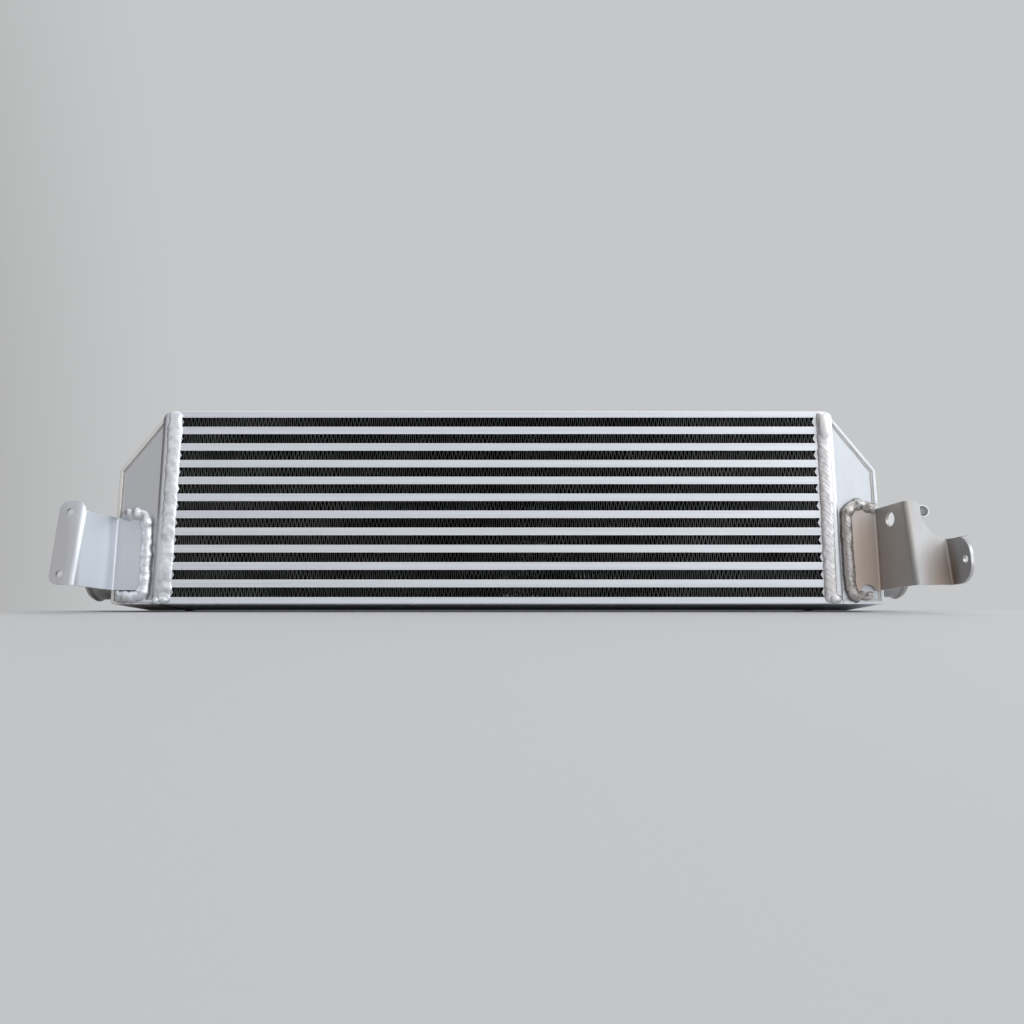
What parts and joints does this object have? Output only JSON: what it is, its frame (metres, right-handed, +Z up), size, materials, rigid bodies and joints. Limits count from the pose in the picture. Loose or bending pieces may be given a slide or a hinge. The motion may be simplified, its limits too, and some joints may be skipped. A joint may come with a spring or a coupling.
{
  "type": "intercooler",
  "caption": "Bar-and-plate charge-air cooler with a welded tank, a side outlet and a folded mounting bracket at each end.",
  "frame": {"origin": "centre of the core's underside, on the bottom plate", "axes": "+X along the core to the right-hand tank, +Y to the rear, +Z up; the brackets face -Y"},
  "size_m": [0.8467, 0.1766, 0.1955],
  "materials": {
    "core_metal": "extruded bars and plates, satin with fine lines",
    "fin_metal": "thin folded strip, dull",
    "tank_sheet": "satin sheet",
    "bracket_sheet": "satin sheet, folded",
    "weld_metal": "rippled weld bead, bright",
    "pipe_metal": "drawn tube, satin"
  },
  "bodies": {
    "root": {"bottom_plate": "core_metal", "charge_fins": "fin_metal", "cold_fin_01": "fin_metal", "cold_fin_02": "fin_metal", "cold_fin_03": "fin_metal", "cold_fin_04": "fin_metal", "cold_fin_05": "fin_metal", "cold_fin_06": "fin_metal", "cold_fin_07": "fin_metal", "cold_fin_08": "fin_metal", "cold_fin_09": "fin_metal", "cold_fin_10": "fin_metal", "cold_fin_11": "fin_metal", "front_bar_01": "core_metal", "front_bar_02": "core_metal", "front_bar_03": "core_metal", "front_bar_04": "core_metal", "front_bar_05": "core_metal", "front_bar_06": "core_metal", "front_bar_07": "core_metal", "front_bar_08": "core_metal", "front_bar_09": "core_metal", "front_bar_10": "core_metal", "left_bracket": "bracket_sheet", "left_bracket_weld": "weld_metal", "left_core_weld": "weld_metal", "left_end_bars": "core_metal", "left_header_frame": "tank_sheet", "left_outlet_pipe": "pipe_metal", "left_tank_front_plate": "tank_sheet", "left_tank_rear_plate": "tank_sheet", "left_tank_wrap": "tank_sheet", "locating_lug": "bracket_sheet", "locating_sleeve": "pipe_metal", "parting_sheets": "core_metal", "rear_bar_01": "core_metal", "rear_bar_02": "core_metal", "rear_bar_03": "core_metal", "rear_bar_04": "core_metal", "rear_bar_05": "core_metal", "rear_bar_06": "core_metal", "rear_bar_07": "core_metal", "rear_bar_08": "core_metal", "rear_bar_09": "core_metal", "rear_bar_10": "core_metal", "right_bracket": "bracket_sheet", "right_bracket_weld": "weld_metal", "right_core_weld": "weld_metal", "right_end_bars": "core_metal", "right_header_frame": "tank_sheet", "right_outlet_pipe": "pipe_metal", "right_tank_front_plate": "tank_sheet", "right_tank_rear_plate": "tank_sheet", "right_tank_wrap": "tank_sheet", "top_plate": "core_metal"}
  },
  "joints": []
}
